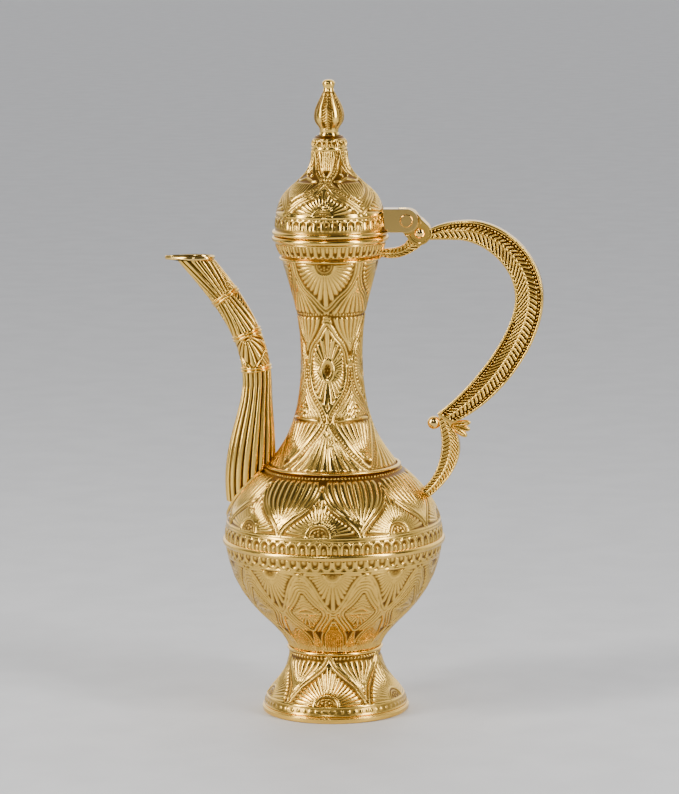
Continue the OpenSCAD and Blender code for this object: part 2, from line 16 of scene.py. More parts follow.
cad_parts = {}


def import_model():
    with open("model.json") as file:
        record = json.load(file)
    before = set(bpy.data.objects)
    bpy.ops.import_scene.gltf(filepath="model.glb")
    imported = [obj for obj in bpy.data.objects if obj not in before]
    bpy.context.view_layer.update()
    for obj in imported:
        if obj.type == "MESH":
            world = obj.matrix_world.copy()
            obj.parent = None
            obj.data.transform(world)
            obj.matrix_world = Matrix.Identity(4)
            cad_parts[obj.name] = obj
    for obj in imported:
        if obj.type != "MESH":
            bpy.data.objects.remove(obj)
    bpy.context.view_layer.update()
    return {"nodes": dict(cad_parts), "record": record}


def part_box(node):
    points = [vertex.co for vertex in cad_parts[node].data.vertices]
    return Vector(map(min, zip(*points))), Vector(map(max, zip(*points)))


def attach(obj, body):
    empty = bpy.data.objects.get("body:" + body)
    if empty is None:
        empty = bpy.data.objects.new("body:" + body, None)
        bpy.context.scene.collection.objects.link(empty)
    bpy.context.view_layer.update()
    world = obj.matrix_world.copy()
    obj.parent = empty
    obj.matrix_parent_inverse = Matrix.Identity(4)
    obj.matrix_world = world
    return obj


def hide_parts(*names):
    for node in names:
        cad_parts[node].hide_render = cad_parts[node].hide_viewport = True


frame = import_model()
nodes = frame["nodes"]
MM = 0.001
TAU = 2 * math.pi
WALL = 1.1          # thickness of the embossed sheets
LINING = 0.75       # relief value that shades the inside of a sheet
GROUND = -0.75      # relief of the ground between wires, beads and rays
DEEP = -0.85        # relief of the ground in arches and in the spout's panels
BELT = -0.45        # relief of the plain belts under bands of arches
UNDER_SKIN = 0.35   # how far ends that meet the pot are sunk into it
SHARP = math.radians(75)    # edges bent further than this are shaded sharp


# ---- Curves ----

def smooth_line(points, per=6):
    """A Catmull-Rom curve through the points, in per steps from one to the next."""
    p = np.asarray(points, float)
    p = np.vstack([2 * p[0] - p[1], p, 2 * p[-1] - p[-2]])
    t = np.linspace(0, 1, per, endpoint=False)[:, None]
    out = []
    for a, b, c, d in zip(p[:-3], p[1:-2], p[2:-1], p[3:]):
        out.append(0.5 * (2 * b + (c - a) * t + (2 * a - 5 * b + 4 * c - d) * t**2
                          + (3 * b - 3 * c + d - a) * t**3))
    return np.vstack(out + [p[-2:-1]])


def bezier(a, b, c, d, count=24):
    """Points along a cubic curve from a to d."""
    t = np.linspace(0, 1, count)[:, None]
    s = 1 - t
    a, b, c, d = (np.asarray(v, float) for v in (a, b, c, d))
    return s**3 * a + 3 * s * s * t * b + 3 * s * t * t * c + t**3 * d


def joined(*curves):
    """Curves end to end, without the points they share."""
    return np.vstack([curves[0]] + [c[1:] for c in curves[1:]])


def lengths(curve):
    """Distance along a curve at each of its points."""
    return np.r_[0, np.cumsum(np.linalg.norm(np.diff(curve, axis=0), axis=1))]


def resample(curve, count):
    """The curve as count points at even distances."""
    s = lengths(curve)
    at = np.linspace(0, s[-1], count)
    return np.column_stack([np.interp(at, s, curve[:, k]) for k in range(curve.shape[1])])


def normals(curve):
    """Unit normals to the right of a plane curve."""
    t = np.gradient(curve, axis=0)
    t /= np.linalg.norm(t, axis=1)[:, None]
    return np.column_stack([t[:, 1], -t[:, 0]])


def hump(d, width):
    """A rounded ridge: 1 on the line, 0 from width on."""
    return np.clip(1 - (d / width) ** 2, 0, 1)


def rounded_ribs(phase, fill=0.9):
    """Crests of round ribs, 1 on top and 0 in the groove, one to each unit of phase."""
    off = np.abs(phase % 1 - 0.5) * 2
    return np.sqrt(np.clip(1 - (off / fill) ** 2, 0, 1))


def step_between(x, start, end):
    """An eased step from 0 at start to 1 at end."""
    t = np.clip((x - start) / (end - start), 0, 1)
    return t * t * (3 - 2 * t)


# ---- Reading the frame ----

def cad_points(node):
    """The corners of a CAD node's mesh."""
    mesh = nodes[node].data
    co = np.empty(3 * len(mesh.vertices))
    mesh.vertices.foreach_get("co", co)
    return co.reshape(-1, 3) / MM


def outline(node, count=400, easings=60, shy=0.02, from_y=-0.3):
    """The outer outline of a turned CAD node from its foot up, as [radius, height]. Rays
    run from the front (from_y, in metres) towards the axis, a little shy of both ends."""
    tree = BVHTree.FromObject(nodes[node], bpy.context.evaluated_depsgraph_get())
    levels = np.unique(np.round(cad_points(node)[:, 2], 2))
    found = []
    for z in levels:
        inside = min(max(z, levels[0] + shy), levels[-1] - shy)
        hit = tree.ray_cast(Vector((0, from_y, inside * MM)), Vector((0, 1, 0)))[0]
        found.append([-hit.y / MM, z])
    soft = resample(np.array(found), count)
    for _ in range(easings):
        soft[1:-1] = 0.25 * (soft[:-2] + 2 * soft[1:-1] + soft[2:])
    return soft


def low(node):
    """The lowest x, y and z of a CAD node."""
    return np.array(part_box(node)[0]) / MM


def high(node):
    """The highest x, y and z of a CAD node."""
    return np.array(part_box(node)[1]) / MM


# ---- Meshes ----

def mesh_object(name, points, faces, relief):
    """points is (n, 3) in mm, faces a list of index arrays with 3 or 4 columns."""
    mesh = bpy.data.meshes.new(name)
    mesh.vertices.add(len(points))
    mesh.vertices.foreach_set("co", (np.asarray(points) * MM).ravel())
    loops = np.concatenate([f.ravel() for f in faces])
    sizes = np.concatenate([np.full(len(f), f.shape[1]) for f in faces])
    mesh.loops.add(len(loops))
    mesh.loops.foreach_set("vertex_index", loops.astype(np.int32))
    mesh.polygons.add(len(sizes))
    mesh.polygons.foreach_set("loop_start", np.r_[0, np.cumsum(sizes)[:-1]].astype(np.int32))
    mesh.polygons.foreach_set("loop_total", sizes.astype(np.int32))
    mesh.update(calc_edges=True)
    mesh.validate()
    mesh.polygons.foreach_set("use_smooth", np.ones(len(sizes), bool))
    mesh.set_sharp_from_angle(angle=SHARP)
    # The relief value also sets where the material paints tarnish and shade: low values are
    # darker
    layer = mesh.attributes.new("relief", "FLOAT", "POINT")
    layer.data.foreach_set("value", np.asarray(relief, np.float32))
    obj = bpy.data.objects.new(name, mesh)
    bpy.context.scene.collection.objects.link(obj)
    return obj


def closed_grid(grid, relief=None, caps=False, flip=False):
    """A closed skin over a grid of (rows, columns, 3) points, as (points, faces, relief).
    Columns close on themselves. The rows close too, or have a fan over either end."""
    rows, columns = grid.shape[:2]
    points = grid.reshape(-1, 3)
    relief = np.ones(len(points)) if relief is None else np.asarray(relief).reshape(-1)
    i = np.arange(rows - 1 if caps else rows)[:, None]
    j = np.arange(columns)[None, :]
    i2, j2 = (i + 1) % rows, (j + 1) % columns
    corners = (i * columns + j, i * columns + j2, i2 * columns + j2, i2 * columns + j)
    faces = [np.stack(np.broadcast_arrays(*corners), -1).reshape(-1, 4)]
    if caps:
        count = rows * columns
        points = np.vstack([points, grid[0].mean(0), grid[-1].mean(0)])
        relief = np.r_[relief, 1, 1]
        j, j2 = j[0], j2[0]
        last = (rows - 1) * columns
        faces.append(np.column_stack([j2, j, np.full(columns, count)]))
        faces.append(np.column_stack([last + j, last + j2, np.full(columns, count + 1)]))
    if flip:
        faces = [f[:, ::-1] for f in faces]
    return points, faces, relief


def piece(name, body, slot, replaced, *parts):
    """One visual piece from closed skins, riding on a body in place of CAD nodes."""
    start = 0
    points, faces, relief = [], [], []
    for some, skin, value in parts:
        points.append(some)
        relief.append(value)
        faces += [f + start for f in skin]
        start += len(some)
    obj = mesh_object(name, np.vstack(points), faces, np.concatenate(relief))
    obj.data.materials.append(FINISHES[slot])
    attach(obj, body)
    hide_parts(*replaced)


def turned(profile, count):
    """A profile of [radius, height] turned round the axis, as (rows, count, 3) points."""
    angle = np.linspace(0, TAU, count, endpoint=False)
    r, z = profile[:, :1], profile[:, 1:]
    return np.stack([r * np.sin(angle), -r * np.cos(angle), z + 0 * angle], -1)


# ---- Finishes ----

def mix(tree, kind, a, b, factor):
    """A blend from a to b, each a constant or a socket."""
    node = tree.nodes.new("ShaderNodeMix")
    node.data_type = kind
    place = {"RGBA": (6, 7), "FLOAT": (2, 3)}[kind]
    for socket, value in zip(place, (a, b)):
        if isinstance(value, (tuple, float)):
            node.inputs[socket].default_value = value
        else:
            tree.links.new(value, node.inputs[socket])
    tree.links.new(factor, node.inputs[0])
    return node.outputs[{"RGBA": 2, "FLOAT": 0}[kind]]


def ramp(tree, value, low_at, high_at):
    """A socket eased from 0 at low_at to 1 at high_at."""
    node = tree.nodes.new("ShaderNodeMapRange")
    node.interpolation_type = "SMOOTHSTEP"
    tree.links.new(value, node.inputs["Value"])
    node.inputs["From Min"].default_value = low_at
    node.inputs["From Max"].default_value = high_at
    return node.outputs["Result"]


def noise(tree, scale, detail=4.0):
    where = tree.nodes.new("ShaderNodeTexCoord")
    node = tree.nodes.new("ShaderNodeTexNoise")
    node.inputs["Scale"].default_value = scale
    node.inputs["Detail"].default_value = detail
    tree.links.new(where.outputs["Object"], node.inputs["Vector"])
    return node.outputs["Fac"]


SMUDGE_SCALE, SMUDGE_TINT = 45.0, 0.90      # soft smudges, and how they dim the metal
SCRATCH_SCALE, SCRATCH_DETAIL = 900.0, 3.0
SCRATCH_BUMP, SCRATCH_DEPTH = 0.015, 0.0002
RECESS_LOW, RECESS_HIGH = 0.2, 0.95         # relief values between which the tarnish and painted shade fade out
RECESS_ROUGH = 0.16                         # how much duller a recess is


def metal(name, bright, smooth, rough, tarnish_and_shade=None):
    """Gilt brass: soft smudges, fine scratches, and tarnish with painted shade where the relief
    is deep.
    """
    material = bpy.data.materials.new(name)
    material.use_nodes = True
    tree = material.node_tree
    shader = tree.nodes["Principled BSDF"]
    shader.inputs["Metallic"].default_value = 1.0
    smudge = ramp(tree, noise(tree, SMUDGE_SCALE), 0.35, 0.7)
    scratches = noise(tree, SCRATCH_SCALE, SCRATCH_DETAIL)
    dimmed = tuple(SMUDGE_TINT * c for c in bright[:3]) + (1.0,)
    colour = mix(tree, "RGBA", bright, dimmed, smudge)
    roughness = mix(tree, "FLOAT", smooth, rough, smudge)
    if tarnish_and_shade:
        # Recesses take the dark colour: tarnish, and painted shade where the relief sinks
        relief = tree.nodes.new("ShaderNodeAttribute")
        relief.attribute_name = "relief"
        height = ramp(tree, relief.outputs["Fac"], RECESS_LOW, RECESS_HIGH)
        colour = mix(tree, "RGBA", tarnish_and_shade, colour, height)
        roughness = mix(tree, "FLOAT", rough + RECESS_ROUGH, roughness, height)
    tree.links.new(colour, shader.inputs["Base Color"])
    tree.links.new(roughness, shader.inputs["Roughness"])
    bump = tree.nodes.new("ShaderNodeBump")
    bump.inputs["Strength"].default_value = SCRATCH_BUMP
    bump.inputs["Distance"].default_value = SCRATCH_DEPTH
    tree.links.new(scratches, bump.inputs["Height"])
    tree.links.new(bump.outputs["Normal"], shader.inputs["Normal"])
    return material


# Embossed metal: its last colour is dark tarnish and painted shade for the relief's recesses
EMBOSSED = metal("embossed_gilt", (0.97, 0.615, 0.125, 1), 0.15, 0.25, (0.13, 0.05, 0.004, 1))
CAST = metal("cast_gilt", (0.97, 0.60, 0.12, 1), 0.13, 0.22)
POLISHED = metal("polished_gilt", (1.0, 0.66, 0.19, 1), 0.09, 0.17)
PLAIN = metal("plain_brass", (0.82, 0.54, 0.20, 1), 0.3, 0.42)
# By material slot: the finish of pieces, and of CAD nodes, which carry no relief
FINISHES = {"embossed_gilt": EMBOSSED, "polished_gilt": POLISHED, "plain_brass": PLAIN}
BARE = {"embossed_gilt": CAST, "polished_gilt": POLISHED, "plain_brass": PLAIN}
EDGE_WIDTH = 0.0002     # bevel on the CAD nodes that show, in metres
EDGE_ANGLE = math.radians(40)


def finish_cad():
    """CAD nodes that still show get the finish of their slot and softened edges."""
    for part in frame["record"]["subparts"]:
        obj = nodes[part["node"]]
        obj.data.materials.clear()
        obj.data.materials.append(BARE[part["material_slot"]])
        weld = obj.modifiers.new("weld", "WELD")
        weld.merge_threshold = 1e-6
        bevel = obj.modifiers.new("soft_edges", "BEVEL")
        bevel.width = EDGE_WIDTH
        bevel.segments = 2
        bevel.limit_method = "ANGLE"
        bevel.angle_limit = EDGE_ANGLE


# ---- Relief on an unrolled sheet ----

class Sheet:
    """Half of one repeat of a turned sheet, unrolled.
    a runs from 0, on the motif's axis, to 0.5, on the axis between two motifs.
    x and y are distances across and up the sheet. h is the relief.
    step is the grid's spacing, which finer narrows across the sheet."""

    def __init__(self, curve, repeats, step, ground=-0.72, turn=0.0, finer=1.0):
        rows = int(round(lengths(curve)[-1] / step))
        self.curve = resample(curve, rows)
        self.r, self.z = self.curve.T
        self.y = lengths(self.curve)[:, None]
        self.repeats = repeats
        self.turn = turn
        self.half = int(round(TAU * self.r.mean() / repeats / step / 2 * finer))
        self.a = ((np.arange(self.half) + 0.5) / self.half / 2)[None, :]
        self.pitch = (TAU * self.r / repeats)[:, None]
        self.x = self.a * self.pitch
        self.h = np.full((rows, self.half), float(ground))

    def level(self, z):
        """Distance along the outline at height z."""
        order = np.argsort(self.z)
        return float(np.interp(z, self.z[order], self.y[order, 0]))

    def path(self, points):
        """A smooth line through (a, z) points, as (a, distance along the outline)."""
        return smooth_line([(a, self.level(z)) for a, z in points])

    def belt(self, z):
        """A straight path round the sheet at height z."""
        return np.array([(0.5, self.level(z)), (0, self.level(z))])

    def near(self, path):
        """Distance in mm from every point of the sheet to a path, signed by its side, and
        the distance along the path of the nearest point."""
        best = np.full(self.h.shape, 1e9)
        side = np.ones(self.h.shape)
        along = np.zeros(self.h.shape)
        run = 0.0
        for (a0, y0), (a1, y1) in zip(path[:-1], path[1:]):
            px, py = (self.a - a0) * self.pitch, self.y - y0
            qx, qy = (a1 - a0) * self.pitch, y1 - y0
            size = qx * qx + qy * qy + 1e-9
            t = np.clip((px * qx + py * qy) / size, 0, 1)
            d = np.hypot(px - t * qx, py - t * qy)
            closer = d < best
            best = np.where(closer, d, best)
            side = np.where(closer, np.sign(px * qy - py * qx), side)
            where = np.interp((y0 + y1) / 2, self.y[:, 0], self.pitch[:, 0])
            part = math.hypot((a1 - a0) * where, qy)
            along = np.where(closer, run + t * part, along)
            run += part
        return best, side, along

    def raise_to(self, height):
        self.h = np.maximum(self.h, height)

    def ridge(self, distance, width, base=GROUND):
        """Raise a round ridge, up to 0, where the distance is less than its half width."""
        self.raise_to(base - base * hump(distance, width))

    def wire(self, path, width, offsets=(0.0,)):
        """Round ridges along a path, each offset in mm to its right."""
        d, side, _ = self.near(path)
        for offset in offsets:
            self.ridge(np.abs(d * side - offset) if offset else d, width)

    def contours(self, path, where, spacing, first):
        """Ridges that follow a path at even distances, where the mask says so."""
        d = self.near(path)[0]
        ridges = GROUND - GROUND * rounded_ribs((d - first) / spacing, 0.8)
        self.h = np.where(where & (d > first), ridges, self.h)

    def beads(self, path, spacing, radius, offset=0.0):
        """A row of beads along a path, offset in mm to its right."""
        d, side, along = self.near(path)
        d = np.abs(d * side - offset) if offset else d
        gap = np.abs((along / spacing) % 1 - 0.5) * spacing
        self.ridge(np.hypot(d, gap), radius)

    def level_wire(self, z, width):
        """A round ridge at height z."""
        self.ridge(self.y - self.level(z), width, base=-0.7)

    def plain(self, z0, z1, height, soft=0.3):
        """A plain belt between two heights, with soft edges."""
        y0, y1 = sorted((self.level(z0), self.level(z1)))
        inside = step_between(self.y, y0 - soft, y0) * (1 - step_between(self.y, y1, y1 + soft))
        self.h = self.h * (1 - inside) + height * inside

    def edge(self, path):
        """a of a path at every row, for a path that only rises or only falls."""
        order = np.argsort(path[:, 1])
        return np.interp(self.y[:, 0], path[order, 1], path[order, 0])[:, None]

    def sunburst(self, z, hub, spacing, frame_path, margin, up=1, squash=1.0, thick=1.2,
                 full=False):
        """Rays every spacing degrees round a dotted hub at height z on the motif's axis, out
        to the frame path less a margin. up is -1 for rays that point down, squash the hub's
        height over its width, thick the rays' greatest half width. full rays go all round."""
        y0 = self.level(z)
        dx, dy = self.x, (self.y - y0) * up
        fx = frame_path[:, 0] * np.interp(frame_path[:, 1], self.y[:, 0], self.pitch[:, 0])
        fy = (frame_path[:, 1] - y0) * up
        angle = np.degrees(np.arctan2(fx, fy))
        reach = np.hypot(fx, fy)
        order = np.argsort(angle)
        taper = 0.42 * math.radians(spacing)    # a ray's half width over its distance out
        least, clear = 0.28, 0.7                # its least half width, and its gap to the hub
        for k in range(int((180 if full else 90) / spacing + 0.01) + 1):
            turn = k * spacing
            out = np.interp(turn, angle[order], reach[order]) - margin
            c, s = math.cos(math.radians(turn)), math.sin(math.radians(turn))
            start = hub * math.hypot(s, c * squash) + clear
            wide = min(taper * out, thick)
            along = dx * s + dy * c
            across = np.abs(dx * c - dy * s)
            tip = out - wide
            width = np.clip(taper * along, least, wide)
            gap = np.where(along > tip, np.hypot(across, along - tip), across)
            gap = np.where(along < start, np.hypot(across, start - along), gap)
            self.raise_to(GROUND - GROUND * np.sqrt(hump(gap, width)) * (out > start + 1))
        rho = np.hypot(dx, dy / squash)
        self.h = np.where((rho < hub) & ((dy > -0.2) | full), GROUND - 0.15, self.h)
        ahead = (dy > -0.3) | full
        for radius, half, top in ((hub, 0.62, 0.1), (0.72 * hub, 0.4, -0.15)):
            ring = GROUND + (top - GROUND) * hump(rho - radius, half)
            self.raise_to(np.where(ahead, ring, GROUND))
        dots = [(0, 0)] if full else [(0, 0.2 * hub)]
        for turn in range(0, 360, 45) if full else (-78, -39, 0, 39, 78):
            dots.append((0.46 * hub * math.sin(math.radians(turn)),
                         0.46 * hub * squash * math.cos(math.radians(turn))))
        for x, y in dots:
            gap = np.hypot(dx - x, dy - y)
            self.raise_to(GROUND - 0.1 - GROUND * hump(gap, 0.13 * hub))

    def flutes(self, axis, path, z0, z1, count, margin, stem=1.2, base=-0.8):
        """Rounded flutes that fan out between an axis (a = 0 or 0.5) and a path less a margin,
        from height z0 to their round tips at z1. count is the number across both sides.
        Flutes narrower than stem are shallower than base."""
        half = np.abs(self.edge(path) - axis) * self.pitch - margin
        x = np.abs(self.a - axis) * self.pitch
        t = x / np.maximum(half, 0.05)
        phase = t * count / 2 + (0.5 if count % 2 else 0.0)
        lobe = 2 * np.maximum(half, 0.0) / count
        y0, y1 = self.level(z0), self.level(z1)
        from_tip = np.abs(y1 - self.y)
        room = hump(np.clip(lobe - from_tip, 0, None), np.maximum(lobe, 0.2))
        crest = rounded_ribs(phase, 0.86) * np.sqrt(room)
        depth = np.clip(lobe / stem, 0.0, 1)
        inside = (t < 1) & (self.y > min(y0, y1)) & (self.y < max(y0, y1)) & (half > 0.3)
        self.h = np.where(inside, base * (1 - crest) * depth, self.h)

    def full(self, own=0.64, beside=0.18):
        """The relief all the way round, with the stair steps of the grid eased: each value
        keeps the share own and takes the share beside from either neighbour."""
        one = np.hstack([self.h[:, ::-1], self.h])
        one = own * one + beside * (np.roll(one, 1, 1) + np.roll(one, -1, 1))
        above, under = np.vstack([one[1:], one[-1:]]), np.vstack([one[:1], one[:-1]])
        return np.tile(own * one + beside * (above + under), (1, self.repeats))

    def angles(self):
        """Angle of every column from the -Y side towards +X, in radians."""
        n = 2 * self.half * self.repeats
        return (np.arange(n) + 0.5) / n * TAU - math.pi / self.repeats + math.radians(self.turn)


def turned_shell(name, sheet, node, body, inner_rows=10, below=np.inf, above=-np.inf):
    """A closed sheet-metal shell from a sheet's relief, in place of a CAD node. below and
    above keep only the rows on that side of a height, with a small overlap."""
    overlap = 0.25
    keep = (sheet.z <= below + overlap) & (sheet.z >= above - overlap)
    curve = sheet.curve[keep]
    h = sheet.full()[keep]
    turn = sheet.angles()
    out = normals(sheet.curve)[keep]
    r = curve[:, :1] + h * out[:, :1]
    z = curve[:, 1:] + h * out[:, 1:]
    z[0], z[-1] = curve[0, 1], curve[-1, 1]
    inner = resample(curve, inner_rows)
    slope = normals(inner)
    lining = inner - WALL * slope
    for end in (0, -1):
        lining[end] = inner[end] - [WALL / max(slope[end, 0], 0.3), 0]
    lining = lining[::-1]
    full_r = np.vstack([r, np.repeat(lining[:, :1], len(turn), 1)])
    full_z = np.vstack([z, np.repeat(lining[:, 1:], len(turn), 1)])
    grid = np.stack([full_r * np.sin(turn), -full_r * np.cos(turn), full_z], -1)
    relief = np.vstack([np.clip(1 + h, 0, 1), np.full((inner_rows, len(turn)), LINING)])
    piece(name, body, "embossed_gilt", [node], closed_grid(grid, relief))


# ---- Foot ----

def foot():
    s = Sheet(outline("foot"), 5, 0.36)
    ogee = s.path([(0, 31), (.09, 26), (.26, 21.3), (.40, 17), (.47, 12.8), (.5, 9.2)])
    s.flutes(0.5, ogee, 9.0, 28.6, 7, margin=1.7)
    s.sunburst(8.4, 6.3, 9.0, ogee, margin=2.0)
    s.wire(ogee, 0.62, offsets=(-0.85, 0.85))
    s.beads(s.belt(30.3), 2.0, 0.8)
    s.plain(3.4, 7.4, BELT)
    s.level_wire(8.1, 0.9)
    s.level_wire(3.9, 0.5)
    # Upright dashes round the edge
    per_repeat, bottom, top = 13.6, s.level(4.7), s.level(6.9)
    x = np.abs((s.a * per_repeat) % 1 - 0.5) * s.pitch / per_repeat
    y = np.clip(np.abs(s.y - (bottom + top) / 2) - (top - bottom) / 2 + 0.7, 0, None)
    s.raise_to(-0.8 + 0.75 * hump(np.hypot(x, y), 0.72))
    turned_shell("foot_embossed", s, "foot", "pot")


# ---- Bowl ----

def arches(s, z0, z1, count):
    """A band of arches, count to the full round, that stand at height z0 and reach to z1.
    Each has a tongue inside."""
    y0, y1 = s.level(z0), s.level(z1)
    reach = abs(y1 - y0)
    rise = (s.y - y0) * (1 if y1 > y0 else -1)
    cells = count / s.repeats
    width = s.pitch / cells
    x = np.abs((s.a * cells) % 1 - 0.5) * width
    spring = reach - 0.5 * width
    wall = hump(np.hypot(x, np.clip(rise - spring, 0, None)) - 0.43 * width, 0.17 * width)
    tongue = hump(np.hypot(x, np.clip(rise - 0.6 * spring, 0, None)), 0.24 * width)
    level = DEEP - DEEP * np.maximum(wall, 0.85 * tongue)
    s.h = np.where((rise > 0) & (rise < reach), level, s.h)


def lower_bowl():
    s = Sheet(outline("lower_bowl"), 10, 0.425, turn=7.0, finer=1.08)
    ribbon = s.path([(.5, 78.4), (.41, 76.6), (.31, 71.5), (.21, 64.8), (.10, 59.4), (0, 57)])
    diamond = s.path([(.5, 68.0), (.44, 64.8), (.34, 60.8), (.235, 57.4), (.29, 54.0),
                      (.39, 50.9), (.5, 47.6)])
    bell = s.path([(0, 55.5), (.10, 51.5), (.19, 47.5), (.30, 43.6), (.36, 39.0), (.38, 33.0)])
    skirt = s.path([(.12, 33), (.3, 38), (.38, 42), (.44, 46.5)])
    s.flutes(0.0, bell, 33.4, 52.5, 9, margin=1.2)
    s.flutes(0.5, skirt, 46.5, 33.2, 9, margin=0.8, stem=0.9)
    between = np.where(s.y > s.level(57), s.a > s.edge(ribbon), s.a > s.edge(bell))
    between &= (s.y > s.level(46)) & (s.y < s.level(80))
    s.contours(diamond, between, 1.65, 0.9)
    # In each diamond: a fan that hangs from a narrow leaf, and slanting ribs above it
    in_diamond = (s.a > s.edge(diamond)) & (s.y > s.level(48.4)) & (s.y < s.level(67.4))
    x, y = (0.5 - s.a) * s.pitch, s.y - s.level(57.6)
    fan = -0.8 + 0.8 * rounded_ribs(np.degrees(np.arctan2(x, -y)) / 14 + 0.5, 0.8)
    slanting = -0.75 + 0.7 * rounded_ribs((y + 0.6 * x) / 1.7)
    s.h = np.where(in_diamond, np.where(y < 0, fan, -0.45), s.h)
    s.h = np.where(in_diamond & (y > 3.2), slanting, s.h)
    s.wire(s.path([(.5, 60.0), (.41, 59.2), (.29, 57.4)]), 0.8)
    s.wire(s.path([(.5, 57.2), (.41, 57.1), (.29, 57.2)]), 0.8)
    s.sunburst(79.2, 4.0, 10.0, ribbon, up=-1, margin=2.2, thick=1.0)
    s.wire(ribbon, 0.7, offsets=(-0.8, 0.8))
    s.wire(bell, 0.7)
    s.beads(bell, 1.7, 0.7, offset=1.5)
    s.beads(diamond, 1.7, 0.75)
    s.plain(79.9, 87.9, BELT)
    arches(s, 86.3, 81.4, 60)
    s.level_wire(80.5, 0.75)
    s.beads(s.belt(87.2), 1.5, 0.65)
    border = 79.6
    turned_shell("lower_bowl_embossed", s, "lower_bowl", "pot", below=border)
    turned_shell("lower_bowl_border", s, "lower_bowl", "pot", 6, above=border)


def upper_bowl():
    s = Sheet(outline("upper_bowl"), 8, 0.40)
    ogee = s.path([(0, 120.8), (.06, 116.4), (.15, 112.4), (.27, 108.6), (.38, 105.2),
                   (.46, 101.8), (.5, 98.6)])
    s.flutes(0.5, ogee, 98.5, 123.4, 8, margin=1.8)
    s.sunburst(98.4, 6.2, 8.2, ogee, margin=2.3)
    s.wire(ogee, 0.68, offsets=(-0.85, 0.85))
    s.plain(88.2, 97.2, BELT)
    arches(s, 89.6, 95.6, 64)
    s.level_wire(96.3, 0.5)
    s.level_wire(97.7, 0.95)
    s.beads(s.belt(124.7), 1.8, 0.6)
    border = 97.0
    turned_shell("upper_bowl_embossed", s, "upper_bowl", "pot", above=border)
    turned_shell("upper_bowl_border", s, "upper_bowl", "pot", 6, below=border)


# ---- Neck, collar and lid ----

def ribbon_of_beads(s, path, clear, width, offset, spacing, radius):
    """Clear a strip along a path and lay two wires with a row of beads between them."""
    s.h = np.where(s.near(path)[0] < clear[0], clear[1], s.h)
    s.wire(path, width, offsets=(-offset, offset))
    s.beads(path, spacing, radius)


def neck():
    s = Sheet(outline("neck"), 4, 0.41, finer=1.1)
    top_frame = s.path([(.47, 229.6), (.46, 223), (.37, 217), (.22, 212.5), (.09, 208),
                        (0, 205.8)])
    over_almond = [(0, 198.3), (.08, 195.6), (.175, 192), (.3, 188.6), (.39, 184)]
    almond = s.path(over_almond + [(.42, 176.8), (.39, 170.5), (.31, 165.2), (.2, 161),
                                   (.08, 157), (0, 153.6)])
    down = s.path([(.045, 150.7), (.06, 148.4), (.12, 145.0), (.21, 140.8), (.32, 135.2),
                   (.42, 130.2), (.5, 126.6)])
    up = s.path([(.045, 150.7), (.06, 153.0), (.13, 156.4), (.25, 160.6), (.37, 165.2),
                 (.45, 171.0), (.475, 177.0)])
    fan_side = [(.06, 202.6), (.12, 197.6), (.22, 193.2), (.37, 188.4), (.45, 184)]
    # Fans above and below the bead belt, over the foot of the neck, and beside the almond
    s.flutes(0.5, s.path([(.02, 204), (.10, 207.5), (.23, 211.8), (.38, 216.4), (.47, 223),
                          (.475, 229)]), 204.6, 228.6, 7, margin=1.5)
    s.flutes(0.5, s.path(fan_side), 202.2, 184.5, 7, margin=1.3)
    s.flutes(0.0, s.path([(.47, 127), (.38, 131.5), (.28, 138), (.18, 143.6), (.10, 147)]),
             127.4, 147.0, 9, margin=1.9)
    fan_edge = s.path([(.14, 149.4), (.19, 146), (.27, 142), (.37, 136.8), (.45, 131.8)])
    s.flutes(0.5, fan_edge, 132, 149.8, 7, margin=0.9)
    s.wire(fan_edge, 0.65)
    outside = (s.a > s.edge(up[::-1])) & (s.y > s.level(152.2)) & (s.y < s.level(170))
    s.contours(up, outside, 1.5, 2.3)
    s.flutes(0.5, s.path([(.30, 172), (.44, 181), (.47, 186)]), 186, 171, 5, margin=0.8)
    # Echoes of the almond, between it and the fans over it
    fans, brow = s.path([(0, 204.5)] + fan_side), s.path(over_almond)
    between = (s.a < s.edge(fans)) & (s.y > s.level(186)) & (s.y < s.level(203))
    between &= (s.y > s.level(198.3)) | (s.a > s.edge(brow))
    s.contours(almond, between, 1.3, 0.9)
    # The small motif low between two almonds: a line, a hook and a bead
    s.wire(s.path([(.5, 151.6), (.4, 151.4), (.3, 151.2), (.16, 150.8)]), 0.85)
    s.wire(s.path([(.5, 162.6), (.42, 158.8), (.35, 155.2), (.39, 153.8), (.44, 155.2),
                   (.44, 157.0)]), 0.7)
    s.raise_to(-0.7 + 0.7 * hump(np.hypot((s.a - 0.5) * s.pitch, s.y - s.level(156.2)), 1.1))
    s.sunburst(175.7, 3.0, 11.0, almond, squash=1.75, full=True, margin=1.7, thick=1.1)
    s.sunburst(229.2, 5.4, 10.0, top_frame, up=-1, margin=2.0, thick=1.1)
    s.wire(almond, 0.62, offsets=(-0.8, 0.8))
    s.wire(top_frame, 0.62, offsets=(-0.8, 0.8))
    s.beads(s.path([(0, 204.4), (.25, 203.6), (.5, 203.4)]), 1.6, 0.7)
    s.beads(s.path([(0, 200.2), (.12, 196.9), (.24, 192.2), (.37, 188.4), (.455, 182)]), 1.6, 0.6)
    for path in (down, up):
        ribbon_of_beads(s, path, (1.3, -0.75), 0.6, 1.5, 1.7, 0.75)
    turned_shell("neck_embossed", s, "neck", "pot", 16)


def collar():
    s = Sheet(outline("collar"), 6, 0.34, ground=-0.5)
    arches(s, 238.3, 232.6, 42)
    s.level_wire(238.9, 0.5)
    turned_shell("collar_embossed", s, "collar", "pot", 6)


